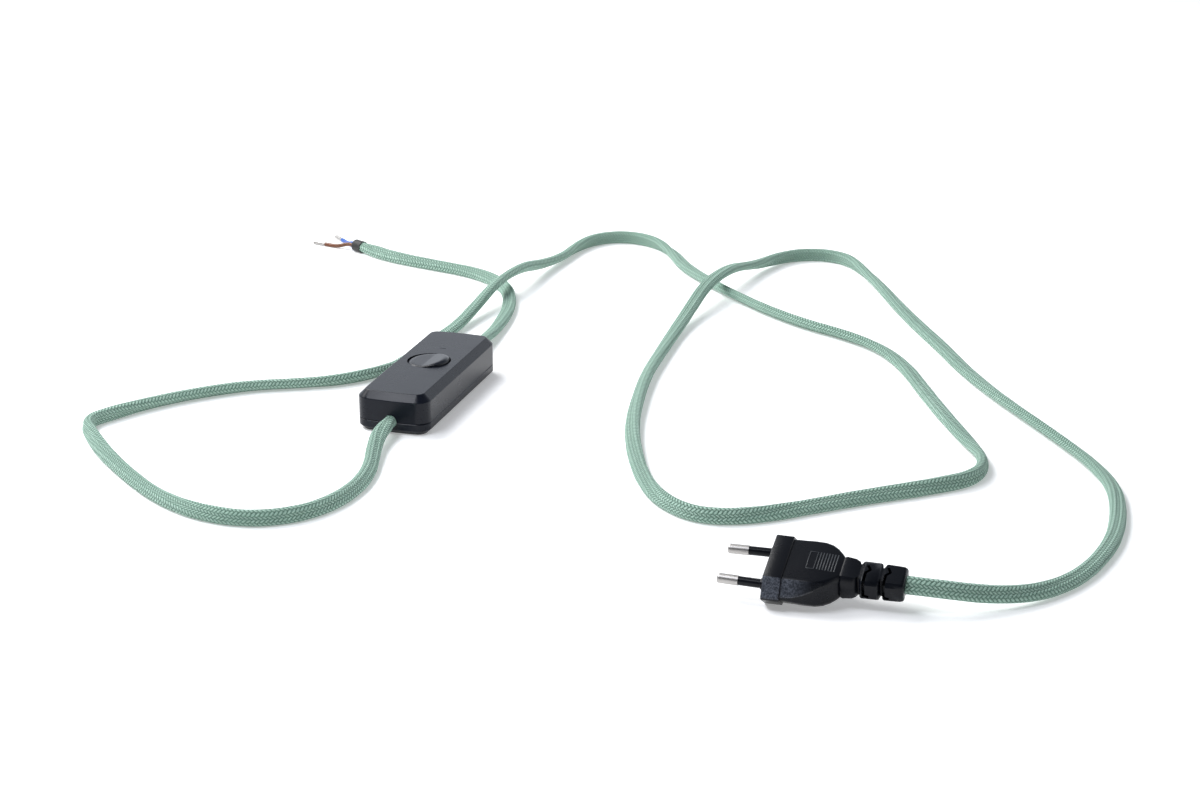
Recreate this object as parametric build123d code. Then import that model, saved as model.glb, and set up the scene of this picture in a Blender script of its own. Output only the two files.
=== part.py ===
"""Inline cord switch: a two-shell rocker switch on a flat braided cord with a two-pin plug.

Millimetres. The switch lies on the plane z = 0 with the centre of its underside at the origin.
+X runs along the switch towards the load cord, -X towards the plug, +Z up.
"""
import os
from math import cos, radians, sin, tan

from build123d import *

# Switch case
LENGTH = 96.0
WIDTH = 35.0
HEIGHT = 19.0
PARTING_Z = 5.5
WALL = 1.8
FLOOR = 2.0
CORNER = 6.5
END_BOW = 1.2
TOP_CHAMFER = 3.2
EDGE_ROUND = 0.6
BOTTOM_CHAMFER = 2.2
JOINT_GROOVE = 0.3
LIP_HEIGHT = 1.2
LIP_WALL = 0.9
LIP_CLEARANCE = 0.1

# Rocker, tilting about an axis along the switch
ROCKER_X = 2.0
ROCKER_RADIUS = 9.75
ROCKER_GAP = 0.6
ROCKER_AXIS_DEPTH = 3.0
ROCKER_THICKNESS = 3.7
ROCKER_TILT = 6.0
ROCKER_CROWN = 24.0
ROCKER_CROWN_TOP = 2.2
COLLAR_WALL = 1.7
COLLAR_DEPTH = 8.0
AXLE_RADIUS = 1.25
RUNNING_CLEARANCE = 0.05
HUB_LENGTH = 7.0
HUB_WIDTH = 6.4
HUB_DEPTH = 9.0
MARK_OFFSET = 18.5
MARK_LENGTH = 3.0
MARK_WIDTH = 0.5
MARK_DEPTH = 0.2

# Plunger and its spring, inside the rocker's hub
PLUNGER_RADIUS = 1.5
PLUNGER_ENGAGEMENT = 2.15
PLUNGER_CLEARANCE = 0.08
SPRING_WIRE = 0.3
SPRING_RADIUS = 1.1
SPRING_TURNS = 5

# See-saw contact blade under the plunger
BLADE_AXIS_Z = 6.4
BLADE_TILT = 8.0
BLADE_LENGTH = 21.0
BLADE_WIDTH = 4.0
BLADE_THICKNESS = 0.8
BLADE_PIVOT_RADIUS = 0.5
BLADE_SIDE_GAP = 0.4
CRADLE_THICKNESS = 0.8
CONTACT_Y = 9.3
CONTACT_RADIUS = 1.4
CONTACT_THICKNESS = 0.8
CONTACT_SHANK = 0.6
RIVET_HEAD_RADIUS = 0.9
RIVET_HEAD_HEIGHT = 0.27
CONTACT_GAP = 0.3
PLUNGER_GAP = 0.35

# Terminals
STRIP_THICKNESS = 0.8
TERMINAL_LENGTH = 6.5
TERMINAL_WIDTH = 6.0
TERMINAL_HEIGHT = 6.0
TERMINAL_FROM_END = 27.5
LIVE_FROM_SIDE = 9.5
NEUTRAL_FROM_SIDE = 7.0
NEUTRAL_BAR_WIDTH = 1.5
NEUTRAL_BAR_HEIGHT = 3.0
CORE_BORE_Z = 5.2
CORE_BORE_RADIUS = 1.0
TERMINAL_SCREW_RADIUS = 1.25
TERMINAL_SCREW_HEAD = 1.3

# Screws that hold the case, and the posts that they go into
POST_FROM_END = 6.8
POST_FROM_SIDE = 6.5
POST_RADIUS = 2.9
CASE_SCREW_RADIUS = 1.2
CASE_SCREW_HEAD_RADIUS = 2.4
CASE_SCREW_HEAD = 1.6
CASE_SCREW_RECESS = 0.5
CASE_SCREW_TIP_DEPTH = 6.0
SCREW_CLEARANCE = 0.1
SLOT_WIDTH = 0.6
SLOT_DEPTH = 0.5

# Cord, and the clamp bars that grip it inside the case
CORD_RADIUS = 3.0
CORD_EXIT_Z = 6.0
CORD_HOLE_CLEARANCE = 0.05
SHEATH_INSIDE = 15.0
CLAMP_FROM_END = 11.5
CLAMP_BAR_LENGTH = 4.0
CLAMP_BAR_OVERHANG = 2.4
CLAMP_BAR_HEIGHT = 2.0
CLAMP_SEAT = 0.02
CLAMP_PILLAR_GAP = 1.4
CLAMP_PILLAR_RADIUS = 2.2
CLAMP_SCREW_RADIUS = 1.0
CLAMP_SCREW_HEAD_RADIUS = 1.9
CLAMP_SCREW_HEAD = 1.3
CORE_RADIUS = 1.1
CORE_GAP = 0.4
COPPER_RADIUS = 0.6

# Plug with two round pins
PLUG_AT = (-166.2, -206.1)
PLUG_HEADING = 90.5
PLUG_ROLL = -17.0
PLUG_TAIL_LIFT = 0.0
FLANGE_WIDTH = 36.0
FLANGE_HEIGHT = 14.2
FLANGE_DEPTH = 7.3
FLANGE_TOP_WIDTH = 24.8
FLANGE_SIDE_HEIGHT = 1.0
GRIP_WIDTH = 33.6
GRIP_HEIGHT = 13.0
GRIP_TOP_WIDTH = 23.0
GRIP_SIDE_HEIGHT = 5.5
GRIP_END = 29.5
NECK_WIDTH = 14.0
NECK_HEIGHT = 9.6
RELIEF_SEGMENTS = 3
RELIEF_SEGMENT = 6.3
RELIEF_GAP = 1.5
RELIEF_CORE = 8.0
RELIEF_TAPER = 0.4
CORD_LEAVES_STRAIGHT = 12.0
PIN_SPACING = 18.8
PIN_LEAN = 1.36
PIN_LENGTH = 19.0
PIN_RADIUS = 2.0
PIN_SLEEVE_LENGTH = 10.5
PIN_SLEEVE_RADIUS = 1.8
PIN_SLEEVE_WALL = 0.4
PIN_ROOT = 8.0

# Bared tails at the end of the load cord
TAIL_SLEEVE_LENGTH = 6.5
TAIL_SLEEVE_WALL = 0.4
TAIL_SLEEVE_CLEARANCE = 0.05
TAIL_LIFT = 0.05
FERRULE_RADIUS = 1.05
FERRULE_LENGTH = 8.0

# Route of the cord from the switch to the plug, x, y and height of its centre
SUPPLY_ROUTE = [
    (-LENGTH / 2, 0, CORD_EXIT_Z), (-61, 0, CORD_EXIT_Z), (-79, -4.5, 4.4), (-99, -11, 3.1),
    (-119, -13.5, 3), (-139, -11, 3),
    (-156, -2, 3), (-167, 16, 3), (-165.5, 39, 3), (-153, 64, 3), (-134, 88, 3), (-114, 110, 3),
    (-98, 125, 3), (-84, 136, 3), (-68, 129, 3), (-48, 118, 3), (-30, 103, 3), (-14, 85, 3), (-4, 64, 3),
    (6, 46, 3), (24, 32, 3), (48, 27.5, 3), (75, 25.5, 3), (100, 22.5, 3.4), (124, 21.5, 6), (150, 19, 12),
    (180, 15.5, 12), (206, 13, 6), (230, 9.5, 3.4), (252, 8, 3), (271, 2, 3), (281, -12, 3), (277, -31, 3),
    (259, -48, 3), (236, -61, 3), (212, -82, 3), (191, -103, 3), (172, -124, 3), (156, -147, 3),
    (145, -171, 3), (130, -192, 3), (106, -209, 3), (76, -223, 3), (45, -238, 3), (16, -253, 3),
    (-10, -266, 3), (-31, -265, 3), (-46, -249, 3), (-64, -225, 3), (-83, -203, 3), (-102, -182, 3),
    (-108, -161, 3), (-96, -142, 3), (-72, -127, 3), (-42, -114, 3), (-10, -103.5, 3), (24, -96.5, 3),
    (58, -91, 3), (92, -88.5, 3), (124, -86.5, 3.4), (152, -86.5, 6), (180, -88, 12), (212, -92.5, 12),
    (240, -99, 6), (263, -107, 3.4), (274.5, -116.5, 3), (279, -130, 3), (274, -145, 3), (257, -157, 3),
    (233, -171, 3),
    (203, -186, 3), (172, -203, 3), (141, -221, 3), (112, -236, 3), (84, -253, 3), (57, -272, 3),
    (31, -291, 3), (4, -310, 3), (-22, -323, 3), (-50, -328, 3), (-79, -329, 3), (-106, -324.5, 3),
    (-127, -317.5, 3), (-145, -305.5, 3.8), (-157, -289, 6.6),
]

# Route of the cord from the switch towards the load
LOAD_ROUTE = [
    (LENGTH / 2, 0, CORD_EXIT_Z), (61, 0, CORD_EXIT_Z), (79, 0.8, 4.4), (98, 2, 3.1), (116, 4, 3),
    (134, 7, 3), (153, 12.5, 3),
    (170, 21, 3), (183, 34, 3), (192, 50, 3), (197, 68, 3), (201, 86, 3), (206, 103, 3.1),
    (213, 117, 3.4), (219, 128.5, 3.4),
]

INNER_TOP = HEIGHT - WALL
ROCKER_AXIS_Z = HEIGHT - ROCKER_AXIS_DEPTH
ROCKER_UNDERSIDE = HEIGHT - ROCKER_THICKNESS
COLLAR_BOTTOM = HEIGHT - COLLAR_DEPTH
HUB_BOTTOM = HEIGHT - HUB_DEPTH
CASE_SCREW_TIP_Z = HEIGHT - CASE_SCREW_TIP_DEPTH
POST_X = LENGTH / 2 - POST_FROM_END
POST_Y = WIDTH / 2 - POST_FROM_SIDE
CLAMP_X = LENGTH / 2 - CLAMP_FROM_END
TERMINAL_OFFSET = LENGTH / 2 - TERMINAL_FROM_END
CLAMP_PILLAR_Y = CORD_RADIUS + CLAMP_PILLAR_RADIUS + CLAMP_PILLAR_GAP
CLAMP_BAR_WIDTH = 2 * (CLAMP_PILLAR_Y + CLAMP_BAR_OVERHANG)
LIVE_Y = WIDTH / 2 - LIVE_FROM_SIDE
NEUTRAL_Y = NEUTRAL_FROM_SIDE - WIDTH / 2
CORE_SPACING = CORE_RADIUS + CORE_GAP / 2
ROCKER_AXIS = Pos(ROCKER_X, 0, ROCKER_AXIS_Z)
BLADE_AXIS = Pos(ROCKER_X, 0, BLADE_AXIS_Z)
AT_REST = ROCKER_AXIS * Rot(-ROCKER_TILT, 0, 0) * ROCKER_AXIS.inverse()
BLADE_AT_REST = BLADE_AXIS * Rot(BLADE_TILT, 0, 0) * BLADE_AXIS.inverse()


def block(x, y, z):
    """A box from its lowest and highest x, y and z."""
    size = (x[1] - x[0], y[1] - y[0], z[1] - z[0])
    return Pos((x[0] + x[1]) / 2, (y[0] + y[1]) / 2, (z[0] + z[1]) / 2) * Box(*size)


def post(x, y, radius, low, high):
    """An upright cylinder."""
    return Pos(x, y, (low + high) / 2) * Cylinder(radius, high - low)


def rod(y, z, radius, low, high):
    """A cylinder along X."""
    return Pos((low + high) / 2, y, z) * Rot(0, 90, 0) * Cylinder(radius, high - low)


def outline(inset):
    """The case seen from above: straight sides, slightly bowed ends and round corners."""
    x = LENGTH / 2 - END_BOW - inset
    y = WIDTH / 2 - inset
    edges = [
        Line((-x, -y), (x, -y)),
        ThreePointArc((x, -y), (x + END_BOW, 0), (x, y)),
        Line((x, y), (-x, y)),
        ThreePointArc((-x, y), (-x - END_BOW, 0), (-x, -y)),
    ]
    face = make_face(edges)
    return fillet(face.vertices(), CORNER - inset)


def slab(inset, low, high):
    """The case outline, drawn in by inset, between two heights."""
    return Pos(0, 0, low) * extrude(outline(inset), high - low)


def tube(route, radius):
    """A round cord along straight runs joined by arcs; prints its smallest radius."""
    points = [Vector(*point) for point in route]
    runs = [(b - a).length for a, b in zip(points, points[1:])]
    radii = []
    for i in range(1, len(points) - 1):
        turn = (points[i] - points[i - 1]).get_angle(points[i + 1] - points[i])
        radii.append(0.45 * min(runs[i - 1], runs[i]) / tan(radians(turn) / 2))
    path = FilletPolyline(*points, radius=radii)
    section = Plane(origin=points[0], z_dir=points[1] - points[0]) * Circle(radius)
    solid = sweep(section, path=path)
    print("cord radii", " ".join(f"{value:.0f}" for value in radii))
    print(f"cord length {path.length:.1f}, volume ratio {solid.volume / (section.area * path.length):.4f}")
    return solid


def cord_hole():
    """The round hole for the cord through both end walls."""
    radius = CORD_RADIUS + CORD_HOLE_CLEARANCE
    reach = LENGTH / 2 + 1
    inner = LENGTH / 2 - WALL - END_BOW - LIP_WALL - 2
    near = rod(0, CORD_EXIT_Z, radius, -reach, -inner)
    far = rod(0, CORD_EXIT_Z, radius, inner, reach)
    return near + far


def corner_posts(radius, low, high):
    """One upright cylinder at each of the four case screws."""
    places = [(x, y) for x in (-POST_X, POST_X) for y in (-POST_Y, POST_Y)]
    return [post(x, y, radius, low, high) for x, y in places]


def upper_housing():
    """The upper shell with its chamfered top, rocker collar and screw posts."""
    shell = slab(0, PARTING_Z, HEIGHT)
    shell = chamfer(shell.faces().sort_by(Axis.Z)[-1].edges(), TOP_CHAMFER)
    shell = chamfer(shell.faces().sort_by(Axis.Z)[0].edges(), JOINT_GROOVE)
    level = [edge for edge in shell.edges() if edge.bounding_box().size.Z < 0.001]
    shell = fillet([edge for edge in level if edge.center().Z > HEIGHT - TOP_CHAMFER - 0.1], EDGE_ROUND)
    hollow = slab(WALL, PARTING_Z - 1, INNER_TOP)
    hollow = chamfer(hollow.faces().sort_by(Axis.Z)[-1].edges(), TOP_CHAMFER - WALL / 2)
    shell -= hollow
    opening = ROCKER_RADIUS + ROCKER_GAP
    shell += post(ROCKER_X, 0, opening + COLLAR_WALL, COLLAR_BOTTOM, HEIGHT - WALL / 2)
    shell -= post(ROCKER_X, 0, opening, COLLAR_BOTTOM - 1, HEIGHT + 1)
    reach = opening + COLLAR_WALL + 0.5
    shell -= rod(0, ROCKER_AXIS_Z, AXLE_RADIUS + RUNNING_CLEARANCE, ROCKER_X - reach, ROCKER_X + reach)
    for column in corner_posts(POST_RADIUS, PARTING_Z + LIP_HEIGHT, INNER_TOP + WALL / 2):
        shell += column
    for hole in corner_posts(CASE_SCREW_RADIUS + SCREW_CLEARANCE, PARTING_Z, CASE_SCREW_TIP_Z + 1):
        shell -= hole
    mark_x = ROCKER_X + MARK_OFFSET
    mark = ((mark_x - MARK_WIDTH / 2, mark_x + MARK_WIDTH / 2), (-MARK_LENGTH / 2, MARK_LENGTH / 2))
    shell -= block(*mark, (HEIGHT - MARK_DEPTH, HEIGHT + 1))
    return shell - cord_hole()


def lower_housing():
    """The lower shell with its locating lip, screw bosses and cord saddles."""
    shell = slab(0, 0, PARTING_Z)
    shell = chamfer(shell.faces().sort_by(Axis.Z)[0].edges(), BOTTOM_CHAMFER)
    shell = chamfer(shell.faces().sort_by(Axis.Z)[-1].edges(), JOINT_GROOVE)
    inset = WALL + LIP_CLEARANCE
    shell += slab(inset, PARTING_Z, PARTING_Z + LIP_HEIGHT)
    shell -= slab(inset + LIP_WALL, FLOOR, HEIGHT)
    for boss in corner_posts(POST_RADIUS, FLOOR / 2, PARTING_Z + LIP_HEIGHT):
        shell += boss
    for hole in corner_posts(CASE_SCREW_RADIUS + SCREW_CLEARANCE, -1, PARTING_Z + LIP_HEIGHT + 1):
        shell -= hole
    for seat in corner_posts(CASE_SCREW_HEAD_RADIUS + SCREW_CLEARANCE, -1, CASE_SCREW_RECESS + CASE_SCREW_HEAD):
        shell -= seat
    saddle_top = CORD_EXIT_Z - CORD_RADIUS
    pillar_top = CORD_EXIT_Z + CORD_RADIUS + CLAMP_SEAT
    for x in (-CLAMP_X, CLAMP_X):
        half = CLAMP_BAR_LENGTH / 2
        shell += block((x - half, x + half), (-CORD_RADIUS, CORD_RADIUS), (FLOOR / 2, saddle_top))
        for y in (-CLAMP_PILLAR_Y, CLAMP_PILLAR_Y):
            shell += post(x, y, CLAMP_PILLAR_RADIUS, FLOOR / 2, pillar_top)
            shell -= post(x, y, CLAMP_SCREW_RADIUS + SCREW_CLEARANCE, FLOOR, pillar_top + 1)
    return shell - cord_hole()


def rocker():
    """The round rocker: two faces in a shallow V, a hub below and an axle through the collar."""
    top = HEIGHT + 4
    disc = post(ROCKER_X, 0, ROCKER_RADIUS, ROCKER_UNDERSIDE, top)
    valley = Pos(ROCKER_X, 0, HEIGHT)
    cut = Box(4 * ROCKER_RADIUS, 2 * ROCKER_RADIUS, top, align=(Align.CENTER, Align.MIN, Align.MIN))
    disc -= valley * Rot(ROCKER_TILT, 0, 0) * cut
    disc -= valley * Rot(-ROCKER_TILT, 0, 0) * mirror(cut, about=Plane.XZ)
    disc &= Pos(ROCKER_X, 0, HEIGHT + ROCKER_CROWN_TOP - ROCKER_CROWN) * Sphere(ROCKER_CROWN)
    hub_x = (ROCKER_X - HUB_LENGTH / 2, ROCKER_X + HUB_LENGTH / 2)
    disc += block(hub_x, (-HUB_WIDTH / 2, HUB_WIDTH / 2), (HUB_BOTTOM, ROCKER_UNDERSIDE + 1))
    reach = ROCKER_RADIUS + ROCKER_GAP + COLLAR_WALL
    disc += rod(0, ROCKER_AXIS_Z, AXLE_RADIUS, ROCKER_X - reach, ROCKER_X + reach)
    disc -= post(ROCKER_X, 0, PLUNGER_RADIUS + PLUNGER_CLEARANCE, HUB_BOTTOM - 1, spring_top())
    return AT_REST * disc


def plunger_tip():
    """The height of the plunger's tip when the rocker is level."""
    return BLADE_AXIS_Z + BLADE_THICKNESS / 2 + PLUNGER_GAP


def plunger_top():
    """The height of the plunger's flat end, inside the rocker's hub."""
    return HUB_BOTTOM + PLUNGER_ENGAGEMENT


def spring_top():
    """The height of the blind end of the plunger's bore."""
    return ROCKER_UNDERSIDE


def plunger():
    """The round-nosed pin that presses on the blade."""
    nose = plunger_tip() + PLUNGER_RADIUS
    pin = post(ROCKER_X, 0, PLUNGER_RADIUS, nose, plunger_top())
    return AT_REST * (pin + Pos(ROCKER_X, 0, nose) * Sphere(PLUNGER_RADIUS))


def plunger_spring():
    """The coil spring above the plunger."""
    low = plunger_top() + SPRING_WIRE / 2
    high = spring_top() - SPRING_WIRE / 2
    path = Helix(pitch=(high - low) / SPRING_TURNS, height=high - low, radius=SPRING_RADIUS)
    section = Plane(origin=path @ 0, z_dir=path % 0) * Circle(SPRING_WIRE / 2)
    return AT_REST * Pos(ROCKER_X, 0, low) * sweep(section, path=path, is_frenet=True)


def contact_blade():
    """The brass see-saw strip with its two pivot lugs."""
    x = (ROCKER_X - BLADE_WIDTH / 2, ROCKER_X + BLADE_WIDTH / 2)
    half = BLADE_LENGTH / 2
    z = (BLADE_AXIS_Z - BLADE_THICKNESS / 2, BLADE_AXIS_Z + BLADE_THICKNESS / 2)
    blade = block(x, (-half, half), z)
    blade = fillet(blade.edges().filter_by(Axis.Z), BLADE_WIDTH / 4)
    lug = BLADE_WIDTH / 2 + BLADE_SIDE_GAP + CRADLE_THICKNESS
    blade += rod(0, BLADE_AXIS_Z, BLADE_PIVOT_RADIUS, ROCKER_X - lug, ROCKER_X + lug)
    blade -= post(ROCKER_X, CONTACT_Y, CONTACT_SHANK, z[0] - 1, z[1] + 1)
    return BLADE_AT_REST * blade


def moving_contact():
    """The silver rivet in the blade's contact end."""
    low = BLADE_AXIS_Z - BLADE_THICKNESS / 2
    high = BLADE_AXIS_Z + BLADE_THICKNESS / 2
    rivet = post(ROCKER_X, CONTACT_Y, CONTACT_RADIUS, low - CONTACT_THICKNESS, low)
    rivet += post(ROCKER_X, CONTACT_Y, CONTACT_SHANK, low, high)
    rivet += post(ROCKER_X, CONTACT_Y, RIVET_HEAD_RADIUS, high, high + RIVET_HEAD_HEIGHT)
    return BLADE_AT_REST * rivet


def fixed_contact():
    """The silver button on the load terminal, met by the blade at the other end of its travel."""
    reach = radians(BLADE_TILT)
    face = BLADE_THICKNESS / 2 + CONTACT_THICKNESS
    low_point = BLADE_AXIS_Z - (CONTACT_Y + CONTACT_RADIUS) * sin(reach) - face * cos(reach)
    return post(ROCKER_X, CONTACT_Y, CONTACT_RADIUS, FLOOR + STRIP_THICKNESS, low_point - CONTACT_GAP)


def terminal_block(x, y):
    """A brass block with a bore for the core and a tapped hole for its screw."""
    half = TERMINAL_LENGTH / 2
    side = TERMINAL_WIDTH / 2
    body = block((x - half, x + half), (y - side, y + side), (FLOOR, FLOOR + TERMINAL_HEIGHT))
    body -= rod(y, CORE_BORE_Z, CORE_BORE_RADIUS, x - half - 1, x + half + 1)
    return body - post(x, y, TERMINAL_SCREW_RADIUS + RUNNING_CLEARANCE, CORE_BORE_Z, FLOOR + TERMINAL_HEIGHT + 1)


def terminal_x(side):
    """The middle of the terminals on the plug's side, -1, or the load's side, 1."""
    return ROCKER_X + side * TERMINAL_OFFSET


def live_in_terminal():
    """The supply terminal with the strip that carries the blade's cradle."""
    low, high = FLOOR, FLOOR + STRIP_THICKNESS
    side = TERMINAL_WIDTH / 2
    inner = BLADE_WIDTH / 2 + BLADE_SIDE_GAP
    outer = inner + CRADLE_THICKNESS
    turn = ROCKER_X - outer - 5
    terminal = terminal_block(terminal_x(-1), LIVE_Y)
    terminal += block((terminal_x(-1), turn + 3), (LIVE_Y - side, LIVE_Y), (low, high))
    terminal += block((turn, turn + 3), (-2.5, LIVE_Y), (low, high))
    terminal += block((turn, ROCKER_X + outer), (-2.5, 2.5), (low, high))
    for x in (ROCKER_X - outer, ROCKER_X + inner):
        ear = block((x, x + CRADLE_THICKNESS), (-2, 2), (low, BLADE_AXIS_Z + 1))
        notch = BLADE_PIVOT_RADIUS + RUNNING_CLEARANCE
        ear -= rod(0, BLADE_AXIS_Z, notch, x - 1, x + CRADLE_THICKNESS + 1)
        ear -= block((x - 1, x + CRADLE_THICKNESS + 1), (-notch, notch), (BLADE_AXIS_Z, BLADE_AXIS_Z + 2))
        terminal += ear
    return terminal


def live_out_terminal():
    """The load terminal with the strip under the fixed contact."""
    low, high = FLOOR, FLOOR + STRIP_THICKNESS
    side = TERMINAL_WIDTH / 2
    terminal = terminal_block(terminal_x(1), LIVE_Y)
    start = ROCKER_X - BLADE_WIDTH / 2
    return terminal + block((start, terminal_x(1)), (LIVE_Y - side / 4, LIVE_Y + side), (low, high))


def neutral_terminal():
    """The two neutral blocks and the bar that joins them past the mechanism."""
    outer = NEUTRAL_Y - TERMINAL_WIDTH / 2
    bar_z = (FLOOR + 1, FLOOR + 1 + NEUTRAL_BAR_HEIGHT)
    terminal = terminal_block(terminal_x(-1), NEUTRAL_Y) + terminal_block(terminal_x(1), NEUTRAL_Y)
    half = TERMINAL_LENGTH / 2
    bar_x = (terminal_x(-1) + half - 0.5, terminal_x(1) - half + 0.5)
    return terminal + block(bar_x, (outer, outer + NEUTRAL_BAR_WIDTH), bar_z)


def slotted_screw(x, y, radius, head_radius, low, head_low, head_high):
    """A screw standing upright, with its slotted head on top."""
    screw = post(x, y, radius, low, head_low) + post(x, y, head_radius, head_low, head_high)
    slot = (head_high - SLOT_DEPTH, head_high + 1)
    return screw - block((x - head_radius, x + head_radius), (y - SLOT_WIDTH / 2, y + SLOT_WIDTH / 2), slot)


def terminal_screws():
    """The four terminal screws, each pressing on a bared core."""
    top = FLOOR + TERMINAL_HEIGHT
    tip = CORE_BORE_Z + COPPER_RADIUS + RUNNING_CLEARANCE
    head = TERMINAL_SCREW_RADIUS + 0.6
    places = [(terminal_x(side), y) for side in (-1, 1) for y in (LIVE_Y, NEUTRAL_Y)]
    return [slotted_screw(x, y, TERMINAL_SCREW_RADIUS, head, tip, top, top + TERMINAL_SCREW_HEAD)
            for x, y in places]


def clamp_bar(side):
    """The bar across the cord, screwed down on its two pillars."""
    x = side * CLAMP_X
    low = CORD_EXIT_Z + CORD_RADIUS + CLAMP_SEAT
    half = CLAMP_BAR_LENGTH / 2
    y = CLAMP_BAR_WIDTH / 2
    bar = block((x - half, x + half), (-y, y), (low, low + CLAMP_BAR_HEIGHT))
    bar = fillet(bar.edges().filter_by(Axis.Z), half / 2)
    for screw_y in (-CLAMP_PILLAR_Y, CLAMP_PILLAR_Y):
        bar -= post(x, screw_y, CLAMP_SCREW_RADIUS + SCREW_CLEARANCE, low - 1, low + CLAMP_BAR_HEIGHT + 1)
    return bar


def clamp_screws():
    """The four screws of the clamp bars."""
    seat = CORD_EXIT_Z + CORD_RADIUS + CLAMP_SEAT + CLAMP_BAR_HEIGHT
    places = [(x, y) for x in (-CLAMP_X, CLAMP_X) for y in (-CLAMP_PILLAR_Y, CLAMP_PILLAR_Y)]
    return [slotted_screw(x, y, CLAMP_SCREW_RADIUS, CLAMP_SCREW_HEAD_RADIUS, FLOOR + 1, seat,
                          seat + CLAMP_SCREW_HEAD) for x, y in places]


def housing_screws():
    """The four case screws, put in from below."""
    low = CASE_SCREW_RECESS
    head_top = low + CASE_SCREW_HEAD
    screws = []
    for x in (-POST_X, POST_X):
        for y in (-POST_Y, POST_Y):
            screw = post(x, y, CASE_SCREW_HEAD_RADIUS, low, head_top)
            screw += post(x, y, CASE_SCREW_RADIUS, head_top, CASE_SCREW_TIP_Z)
            for angle in (0, 90):
                bar = Box(3.2, SLOT_WIDTH, 2 * SLOT_DEPTH)
                screw -= Pos(x, y, low) * Rot(0, 0, angle) * bar
            screws.append(screw)
    return screws


def sheath_end(side):
    """The last stretch of sheathed cord inside the case, under the clamp bar."""
    ends = sorted((side * LENGTH / 2, side * (LENGTH / 2 - SHEATH_INSIDE)))
    return rod(0, CORD_EXIT_Z, CORD_RADIUS, *ends)


def core_route(side, y):
    """The line of one core from the sheath's end to its terminal."""
    start = side * (LENGTH / 2 - SHEATH_INSIDE)
    end = terminal_x(side) + side * (TERMINAL_LENGTH / 2 + 0.5)
    first = CORE_SPACING if y > 0 else -CORE_SPACING
    span = end - start
    return [
        (start, first, CORD_EXIT_Z), (start + 0.22 * span, first, CORD_EXIT_Z),
        (end - 0.22 * span, y, CORE_BORE_Z), (end, y, CORE_BORE_Z),
    ]


def copper_end(side, y):
    """The bared end of one core inside its terminal block."""
    start = terminal_x(side) + side * (TERMINAL_LENGTH / 2 + 0.5)
    return rod(y, CORE_BORE_Z, COPPER_RADIUS, *sorted((start, start - side * (TERMINAL_LENGTH - 0.5))))


def octagon(x, width, height, top_width, side_height):
    """A flat-topped section with slanted shoulders, across the plug's length at x."""
    w, h, t, s = width / 2, height / 2, top_width / 2, side_height / 2
    corners = [(w, -s), (w, s), (t, h), (-t, h), (-w, s), (-w, -s), (-t, -h), (t, -h)]
    return Plane(origin=(x, 0, 0), x_dir=(0, 1, 0), z_dir=(1, 0, 0)) * make_face(Polyline(*corners, close=True))


def relief_length():
    """The length of the slotted strain relief."""
    return RELIEF_SEGMENTS * (RELIEF_SEGMENT + RELIEF_GAP)


def plug_place():
    """The plug's place: its pins point along its own +X. It lies on a flange edge, and the cord holds its tail up."""
    lean = radians(abs(PLUG_ROLL))
    flange_low = FLANGE_TOP_WIDTH / 2 * sin(lean) + FLANGE_HEIGHT / 2 * cos(lean)
    height = flange_low * cos(radians(PLUG_TAIL_LIFT)) + 0.05
    return Pos(*PLUG_AT, height) * Rot(0, 0, PLUG_HEADING) * Rot(0, PLUG_TAIL_LIFT, 0) * Rot(PLUG_ROLL, 0, 0)


def pin_place(y):
    """One pin's own frame at the flange's face: the two pins lean together towards their tips."""
    return Pos(0, y, 0) * Rot(0, 0, PIN_LEAN if y < 0 else -PIN_LEAN)


def plug_body():
    """The moulded body: flange, tapered grip and slotted strain relief."""
    flange = extrude(octagon(-FLANGE_DEPTH, FLANGE_WIDTH, FLANGE_HEIGHT, FLANGE_TOP_WIDTH, FLANGE_SIDE_HEIGHT),
                     FLANGE_DEPTH)
    flange = fillet(flange.edges(), 0.6)
    shoulder = GRIP_END * 0.55
    wide = octagon(-FLANGE_DEPTH + 1, GRIP_WIDTH, GRIP_HEIGHT, GRIP_TOP_WIDTH, GRIP_SIDE_HEIGHT)
    middle = octagon(-shoulder, GRIP_WIDTH * 0.9, GRIP_HEIGHT, GRIP_TOP_WIDTH * 0.9, GRIP_SIDE_HEIGHT)
    narrow = octagon(-GRIP_END, NECK_WIDTH, NECK_HEIGHT, NECK_WIDTH * 0.7, NECK_HEIGHT * 0.5)
    body = flange + loft([middle, wide], ruled=True) + loft([narrow, middle], ruled=True)
    x = -GRIP_END
    pitch = RELIEF_SEGMENT + RELIEF_GAP
    core = RELIEF_CORE / 2
    body += block((x - relief_length(), x), (-core * 0.8, core * 0.8), (-core, core))
    for i in range(RELIEF_SEGMENTS):
        high = x - i * pitch - (RELIEF_GAP if i else 0)
        low = x - (i + 1) * pitch
        w = NECK_WIDTH / 2 - i * RELIEF_TAPER
        h = NECK_HEIGHT / 2 - i * RELIEF_TAPER / 2
        ring = block((low, high), (-w, w), (-h, h))
        body += chamfer(ring.edges().filter_by(Axis.X), 1.4)
    for y in (-PIN_SPACING / 2, PIN_SPACING / 2):
        body -= pin_place(y) * rod(0, 0, PIN_SLEEVE_RADIUS, -PIN_ROOT, 1)
    return plug_place() * body


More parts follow.
